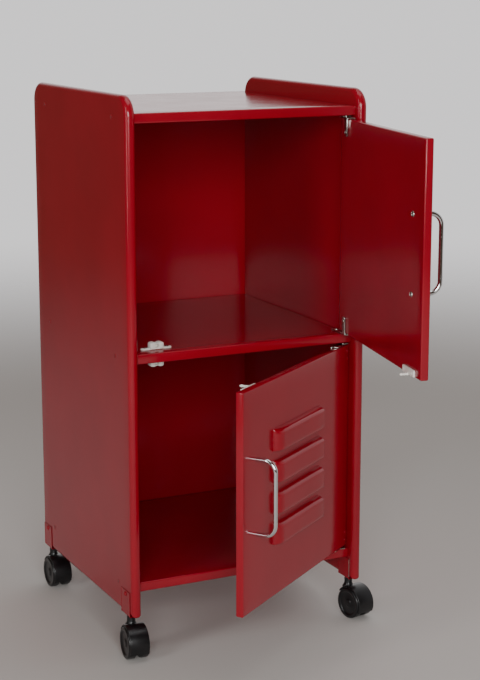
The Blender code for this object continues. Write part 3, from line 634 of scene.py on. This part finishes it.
def catchSurface():
    # lobed rings along y: from the back to the front, round the front edge, into the mouth and
    # down the socket
    half, high = catchSizes["width"] / 2, catchSizes["height"]
    mouthX, mouthZ = catchSizes["mouthHalf"]
    middle = catchSizes["mouthLevel"]
    rings = []
    for inset, y in ((0.0, catchSizes["depth"]), *catchSizes["frontEdge"]):
        x, z = lobedRing(half - inset, inset, high - inset, catchSizes["notch"])
        rings.append(np.stack((x, np.full_like(x, y), z), axis=-1))
    for grow, y in (*catchSizes["mouthEdge"], (0.0, catchSizes["socketDepth"])):
        x, z = lobedRing(mouthX + grow, middle - mouthZ - grow, middle + mouthZ + grow, 0.0)
        rings.append(np.stack((x, np.full_like(x, y), z), axis=-1))
    return np.stack(rings)


def tongueSurface():
    # squared-off ovals, |x/a|^4 + |z/b|^4 = 1, along y, whose size goes in behind the tip, out
    # again and to a blunt point
    halfX, halfZ = keeperSizes["tongueHalf"]
    share = np.array([0.0, 0.10, 0.45, 0.66, 0.74, 0.84, 0.93, 1.0])[:, None]
    reach = np.array([1.35, 1.0, 0.85, 0.80, 1.0, 1.0, 0.70, 0.38])[:, None]
    angle = np.linspace(0, 2 * np.pi, 32, endpoint=False)
    x = np.sign(np.cos(angle)) * np.abs(np.cos(angle)) ** 0.5 * halfX
    z = np.sign(np.sin(angle)) * np.abs(np.sin(angle)) ** 0.5 * halfZ
    y = np.broadcast_to(share * keeperSizes["tongueLength"], (len(share), len(angle)))
    return np.stack((reach * x, y, np.clip(reach, 0, 1.1) * z), axis=-1)


for level, way in (("upper", 1), ("lower", -1)):
    body = f"{level}_door"
    low, high = cornersOf(f"{level}_catch")
    seat = low[2] if way > 0 else high[2]
    origin = ((low[0] + high[0]) / 2, low[1], seat)
    block = catchSurface() * (1, 1, way) + origin
    ear = catchSizes["ear"]
    earY = catchSizes["earInset"] + ear[1] / 2
    ears = boardSurface(ear, [catchSizes["earCorner"]] * 4, 0.0003, 0.0009, 8, 4, 0.003)
    ears = (ears + (0, earY, ear[2] / 2)) * (1, 1, way) + origin
    makePiece(f"{level}Catch", [closed(block), closed(ears)], whiteAcetal, "cabinet",
              [f"{level}_catch"], sharp=40)
    screws = []
    for hand in (-1, 1):
        spot = (origin[0] + hand * catchSizes["earScrewFromMiddle"], origin[1] + earY, seat + way * ear[2])
        head = placed(screwSurface(*catchSizes["earScrew"]), spot, (1, 0, 0), (0, 0, way))
        screws.append(seated(head))
    makePiece(f"{level}CatchScrews", screws, brightPlate, "cabinet", sharp=50)

    # the keeper at the matching end of the door: a base plate and the tongue that enters the catch
    doorEnd = 0.0 if way > 0 else doorSizes["height"]
    keeperX = doorEdge - keeperSizes["fromHinge"]
    width, tall, thick = keeperSizes["base"]
    flat = boardSurface((width, tall, thick), [keeperSizes["corner"]] * 4, 0.0003, 0.0008, 6, 4, 0.003)
    baseY = doorFace + keeperSizes["gap"] + thick / 2
    baseZ = doorEnd + way * (keeperSizes["fromEnd"] + tall / 2)
    base = standing(flat) * (1, 1, way) + (keeperX, baseY, baseZ)
    tongueZ = doorEnd + way * keeperSizes["tongueFromEnd"]
    tongue = tongueSurface() * (1, 1, way) + (keeperX, doorFace + keeperSizes["tongueSeat"], tongueZ)
    patches = [closed(doorPlace(level, base)), closed(doorPlace(level, tongue))]
    for hand in (-1, 1):
        spot = (keeperX + hand * keeperSizes["screwFromMiddle"], doorFace + thick,
                doorEnd + way * keeperSizes["screwFromEnd"])
        head = placed(screwSurface(*keeperSizes["screw"]), spot, (1, 0, 0), (0, 1, 0))
        patches.append(seated(doorPlace(level, head)))
    makePiece(f"{level}Keeper", patches, whiteAcetal, body,
              [f"{level}_door_keeper"], sharp=40)
print("catches built")

wheelSizes = {
    "radius": 0.025,
    "width": 0.0125,
    "shoulder": 0.0024,
    # (radius, depth below the hub's face): a hub cap, a shallow dish and a rim
    "face": [(0.0, 0.0004), (0.0045, 0.0005), (0.0062, 0.0009), (0.0070, 0.0016), (0.0078, 0.0020),
             (0.0165, 0.0022), (0.0182, 0.0018), (0.0192, 0.0008), (0.0200, 0.0002), (0.0208, 0.0)],
    # (depth below the tread, height above the back face)
    "back": [(0.0, 0.0012), (0.0003, 0.0004), (0.0010, 0.0)],
    "bore": 0.0045,
}
hoodSizes = {
    "trail": 0.018,            # from the swivel's line to the axle
    "inner": 0.0262,
    "outer": 0.0282,
    "half": 0.0155,
    "edge": 0.0013,
    "crown": 0.0004,
    "from": -25,               # degrees about the axle, from straight ahead
    "to": 145,
    "webHalf": 0.0037,
    "webInset": 0.0005,
    "webLow": [(-0.013, -0.004), (-0.004, -0.012), (0.010, -0.012)],   # from the axle
    "collar": 0.0064,
    "collarFoot": [(0.0035, 0.036), (0.0030, 0.0475), (0.0010, 0.0505), (0.0, 0.0530)],   # (wider by, height)
    "collarEdge": 0.0006,
}
bracketSizes = {
    "thick": 0.0008,
    "bend": 0.0013,
    "seat": 0.0003,
    "edge": 0.0003,
    "innerLower": 0.005,       # the inner leg ends this much lower than the outer one
    "straight": 0.01,
    "boss": [(0.0, 0.0), (0.0052, 0.0), (0.0060, 0.0004),
             (0.0062, 0.0010), (0.0062, 0.0026), (0.0, 0.0026)],
    "bareEdge": (0.0015, 0.0004, 0.030),
    "bareEdgeSunk": 0.0001,
    "screw": (0.0036, 0.0019),
}


def fenderSurface():
    # a closed section, wide and thin with rounded outer edges and a slight crown, carried round
    # the axle from low behind to high in front
    half, inner, outer, edge = (hoodSizes[key] for key in ("half", "inner", "outer", "edge"))
    turn = arc(0, 90, 5)
    x = np.concatenate(([-half], -half + edge * (1 - np.sin(turn[::-1])),
                        half - edge * (1 - np.sin(turn)), [half]))
    r = np.concatenate(([inner], outer - edge * (1 - np.cos(turn[::-1])),
                        outer - edge * (1 - np.cos(turn)), [inner]))
    r = r + hoodSizes["crown"] * np.cos(x / half * np.pi / 2) ** 2 * (r > inner + 1e-5)
    angle = arc(hoodSizes["from"], hoodSizes["to"], 44)
    y = hoodSizes["trail"] + np.outer(np.cos(angle), r)
    z = wheelSizes["radius"] + np.outer(np.sin(angle), r)
    return np.stack((np.broadcast_to(x, y.shape), y, z), axis=-1)


def webSurface():
    # the hood's middle wall: its outline pushed along the axle, a little smaller at each face
    angle = arc(hoodSizes["from"], hoodSizes["to"], 30)
    inset, half = hoodSizes["webInset"], hoodSizes["webHalf"]
    reach = hoodSizes["outer"] - inset
    low = np.array(hoodSizes["webLow"])
    y = np.concatenate((reach * np.cos(angle), low[:, 0]))
    z = np.concatenate((reach * np.sin(angle), low[:, 1]))
    share = np.array([0.97, 1.0, 1.0, 0.97])[:, None]
    across = np.array([-half, inset - half, half - inset, half])[:, None]
    return np.stack((np.broadcast_to(across, (4, len(y))), hoodSizes["trail"] + share * y,
                     wheelSizes["radius"] + share * z), axis=-1)


def collarSurface(top):
    # the neck round the stem: a flared foot, a straight wall and a broken top edge, spun about z
    radius, edge, foot = hoodSizes["collar"], hoodSizes["collarEdge"], hoodSizes["collarFoot"]
    profile = [(0.0, foot[0][1])] + [(radius + wider, height) for wider, height in foot]
    return turnedSurface(profile + [(radius, top - edge), (radius - edge, top), (0.0, top)], 40)


def wheelSurface():
    # a turned wheel, hub face up: the face, a rounded shoulder, the tread and a flat back
    half, radius, shoulder = wheelSizes["width"] / 2, wheelSizes["radius"], wheelSizes["shoulder"]
    turn = arc(0, 90, 6)
    profile = [(reach, half - depth) for reach, depth in wheelSizes["face"]]
    rounding = (radius - shoulder + shoulder * np.sin(turn), half - shoulder * (1 - np.cos(turn)))
    profile += list(zip(*rounding))
    profile += [(radius - depth, rise - half) for depth, rise in wheelSizes["back"]]
    profile += [(wheelSizes["bore"], -half), (0.0, -half)]
    return turnedSurface(profile, 72)


def bracketSurface(sign, low, high):
    # a thin strip bent into a channel: down the side's outer face, under it and up its inner face;
    # its section, with broken edges, stands square to the strip's path
    thick, bend, seat, edge = (bracketSizes[key] for key in ("thick", "bend", "seat", "edge"))
    straight = bracketSizes["straight"]
    outside = outerFace[sign] + sign * (seat + thick / 2)
    inside = (low[0] if sign > 0 else high[0]) + sign * thick / 2
    floor = leftLow[2] - seat - thick / 2
    span = abs(outside - inside)
    innerTop = high[2] - bracketSizes["innerLower"]
    turn = arc(0, 90, 6)
    x = np.concatenate(([0.0, 0.0], bend * (1 - np.cos(turn)),
                        span - bend * (1 - np.sin(turn)), [span, span]))
    z = np.concatenate(([high[2], high[2] - straight], floor + bend * (1 - np.sin(turn)),
                        floor + bend * (1 - np.cos(turn)), [innerTop - straight, innerTop]))
    path = np.stack((outside - sign * x, z), axis=-1)
    along = np.gradient(path, axis=0)
    along /= np.linalg.norm(along, axis=1)[:, None]
    normal = np.stack((-along[:, 1], along[:, 0]), axis=-1)
    halfLength = (high[1] - low[1]) / 2
    offsets = []
    for signT, signY in ((-1, -1), (-1, 1), (1, 1), (1, -1)):
        first = (signT * (thick / 2 - edge), signY * halfLength)
        second = (signT * thick / 2, signY * (halfLength - edge))
        offsets += [first, second] if signT * signY < 0 else [second, first]
    offsets = np.array(offsets)
    across = path[:, None] + normal[:, None] * offsets[None, :, :1]
    y = np.broadcast_to((low[1] + high[1]) / 2 + offsets[:, 1], across.shape[:2])
    return np.stack((across[..., 0], y, across[..., 1]), axis=-1)


def castorBracket(corner, name, sign, swivel):
    low, high = cornersOf(f"castor_bracket_{corner}")
    boss = turnedSurface(bracketSizes["boss"], 40) + (swivel[0], swivel[1], low[2])
    makePiece(f"{name}Bracket", [closed(bracketSurface(sign, low, high)), closed(boss)], redPaintedSteel,
              "cabinet", [f"castor_bracket_{corner}"])
    # the cut front edge of the inner leg is bare metal
    bare = bracketSizes["bareEdge"]
    strip = boardSurface(bare, [0.0001] * 4, 0.0002, 0.0002, 2, 2, 0.0006)
    innerX = (low[0] if sign > 0 else high[0]) + sign * bare[0] / 2
    strip = strip + (innerX, low[1] - bare[1] / 2 + bracketSizes["bareEdgeSunk"],
                     high[2] - bracketSizes["innerLower"] - bare[2] / 2)
    makePiece(f"{name}BracketEdge", [closed(strip)], brightPlate, "cabinet")
    middle = sizeAndCentre(f"bracket_screw_{corner}")[1]
    faceX = outerFace[sign] + sign * (bracketSizes["seat"] + bracketSizes["thick"])
    head = placed(screwSurface(*bracketSizes["screw"]), (faceX, *middle[1:]), (0, 1, 0), (sign, 0, 0))
    makePiece(f"{name}BracketScrew", [seated(head)], redPaintedSteel, "cabinet",
              [f"bracket_screw_{corner}"], sharp=50)


def castor(corner, name, swivel):
    ground = (swivel[0], swivel[1], 0.0)
    axle = np.array(jointByName[f"wheel_{corner}_a_spin"]["axis"], float)
    collarTop = float(cornersOf(f"castor_hood_{corner}")[1][2])
    shapes = (fenderSurface(), webSurface(), collarSurface(collarTop))
    makePiece(f"{name}Hood", [closed(placed(shape, ground, axle)) for shape in shapes], blackNylon,
              f"castor_{corner}", [f"castor_hood_{corner}"], sharp=38)
    for hand, facing in (("a", -1), ("b", 1)):
        centre = jointByName[f"wheel_{corner}_{hand}_spin"]["pos_m"]
        wheel = placed(wheelSurface(), centre, (0, 0, 1), axle * facing)
        makePiece(f"{name}Wheel{hand.upper()}", [(wheel, True, ())], blackNylon, f"wheel_{corner}_{hand}",
                  [f"castor_wheel_{corner}_{hand}"], sharp=38)


for row in ("front", "rear"):
    for side, sign in (("left", -1), ("right", 1)):
        swivel = jointByName[f"castor_{row}_{side}_swivel"]["pos_m"]
        castorBracket(f"{row}_{side}", row + side.title(), sign, swivel)
        castor(f"{row}_{side}", row + side.title(), swivel)

for node, item in frame["nodes"].items():
    if node.startswith(("castor_stem", "castor_axle")):
        item.data.materials.clear()
        item.data.materials.append(brightPlate)
print("castors built")

stage = {
    "radius": 5.0,
    "fadeFrom": 1.5,           # the floor melts into the backdrop between these two radii
    "fadeTo": 4.4,
    "paper": "#C2BEBA",
    "backdrop": "#E2E0E1",
    "backdropStrength": 1.35,
}
room = {
    "brightSide": (0.90, 0.44, 0.0),      # the way to the bright side of the room
    "sideSpread": (0.12, 0.66),           # the brightness turns over between these shares of that way
    "sideStrength": (0.17, 1.22),
    "frontSpread": (0.0, 0.6),
    "frontStrength": (0.55, 1.0),
    "shade": "#D8B193",                   # warm in the shaded part of the room
    "light": "#F6F3F3",
}


def paperMaterial():
    # matt studio paper that fades out with its distance from the cabinet
    material, tree, shader, where = newMaterial("studioPaper")
    shader.inputs["Base Color"].default_value = toLinear(stage["paper"])
    shader.inputs["Roughness"].default_value = 0.85
    reach = addNode(tree, "ShaderNodeVectorMath", {"operation": "LENGTH"}, {0: where})
    fade = addNode(tree, "ShaderNodeMapRange",
                   {"interpolation_type": "SMOOTHSTEP", "From Min": stage["fadeFrom"],
                    "From Max": stage["fadeTo"], "To Min": 1.0, "To Max": 0.0},
                   {"Value": reach.outputs["Value"]})
    tree.links.new(fade.outputs["Result"], shader.inputs["Alpha"])
    return material


def discSurface(radius, rings=6, sides=96):
    # a flat disc: circles at equal steps of radius
    reach = np.linspace(1e-4, radius, rings)
    angle = np.linspace(0, 2 * np.pi, sides, endpoint=False)
    r, a = np.meshgrid(reach, angle, indexing="ij")
    return np.stack((r * np.cos(a), r * np.sin(a), np.zeros_like(r)), axis=-1)


disc = discSurface(stage["radius"])
floorMesh = bpy.data.meshes.new("studioPaper")
floorMesh.from_pydata(disc.reshape(-1, 3).tolist(), [], gridFaces(*disc.shape[:2], True, 0).tolist())
floorMesh.materials.append(paperMaterial())
floor = bpy.data.objects.new("studioPaper", floorMesh)
bpy.context.scene.collection.objects.link(floor)


def studioWorld():
    # a room that is bright behind and to the right, and falls off to the left and to the front
    world = bpy.data.worlds.new("studio")
    world.use_nodes = True
    tree = world.node_tree
    graded = tree.nodes["Background"]
    heading = tree.nodes.new("ShaderNodeTexCoord").outputs["Generated"]
    sideways = addNode(tree, "ShaderNodeVectorMath", {"operation": "DOT_PRODUCT", 1: room["brightSide"]},
                       {0: heading})
    fromLeft = addNode(tree, "ShaderNodeMapRange",
                       {"interpolation_type": "SMOOTHSTEP", "From Min": room["sideSpread"][0],
                        "From Max": room["sideSpread"][1], "To Min": room["sideStrength"][0],
                        "To Max": room["sideStrength"][1]},
                       {"Value": sideways.outputs["Value"]})
    parts = addNode(tree, "ShaderNodeSeparateXYZ", {}, {"Vector": heading})
    fromFront = addNode(tree, "ShaderNodeMapRange",
                        {"interpolation_type": "SMOOTHSTEP", "From Min": room["frontSpread"][0],
                         "From Max": room["frontSpread"][1], "To Min": room["frontStrength"][0],
                         "To Max": room["frontStrength"][1]},
                        {"Value": parts.outputs["Y"]})
    strength = addNode(tree, "ShaderNodeMath", {"operation": "MULTIPLY"},
                       {0: fromLeft.outputs["Result"], 1: fromFront.outputs["Result"]})
    tone = addNode(tree, "ShaderNodeValToRGB", {}, {"Fac": fromLeft.outputs["Result"]})
    tone.color_ramp.elements[0].position = 0.2
    tone.color_ramp.elements[1].position = 0.6
    tone.color_ramp.elements[0].color = toLinear(room["shade"])
    tone.color_ramp.elements[1].color = toLinear(room["light"])
    tree.links.new(tone.outputs["Color"], graded.inputs["Color"])
    tree.links.new(strength.outputs["Value"], graded.inputs["Strength"])
    # what is seen directly behind the cabinet is one plain pale tone; the room only lights and mirrors
    plain = addNode(tree, "ShaderNodeBackground",
                    {"Color": toLinear(stage["backdrop"]), "Strength": stage["backdropStrength"]})
    seen = tree.nodes.new("ShaderNodeLightPath").outputs["Is Camera Ray"]
    choice = addNode(tree, "ShaderNodeMixShader", {}, {0: seen, 1: graded.outputs[0], 2: plain.outputs[0]})
    tree.links.new(choice.outputs[0], tree.nodes["World Output"].inputs["Surface"])
    return world


bpy.context.scene.world = studioWorld()

softboxes = {
    "frontKey": {"at": (-1.5, -3.6, 1.55), "to": (0.0, 0.1, 0.45), "size": (2.2, 1.6), "watts": 120.0},
    "sideStrip": {"at": (-2.6, -0.9, 1.4), "to": (0.0, 0.1, 0.6), "size": (0.5, 2.2), "watts": 20.0},
    "topLight": {"at": (0.3, -0.2, 3.4), "to": (0.1, 0.1, 0.0), "size": (2.0, 2.0), "watts": 22.0},
}

for name, box in softboxes.items():
    light = bpy.data.lights.new(name, "AREA")
    light.shape = "RECTANGLE"
    light.size, light.size_y = box["size"]
    light.energy = box["watts"]
    lamp = bpy.data.objects.new(name, light)
    bpy.context.scene.collection.objects.link(lamp)
    lamp.location = box["at"]
    direction = Vector(box["to"]) - Vector(box["at"])
    lamp.rotation_euler = direction.to_track_quat("-Z", "Y").to_euler()
    lamp.visible_camera = False

view = {
    "fromLeftFoot": (-0.8995, -2.2105, 0.9471),   # from the left side's lowest front outer corner
    "down": 12.1366,
    "right": 26.0677,
    "focal": 1660.25 / 680.0,                     # in image heights
    "sensor": 36.0,                               # in millimetres, along the image's height
}

cameraData = bpy.data.cameras.new("camera")
cameraData.sensor_width = view["sensor"]
cameraData.lens = view["focal"] * view["sensor"]
camera = bpy.data.objects.new("camera", cameraData)
bpy.context.scene.collection.objects.link(camera)
camera.location = leftLow + view["fromLeftFoot"]
camera.rotation_euler = (math.radians(90 - view["down"]), 0.0, math.radians(-view["right"]))
bpy.context.scene.camera = camera
print("stage set")
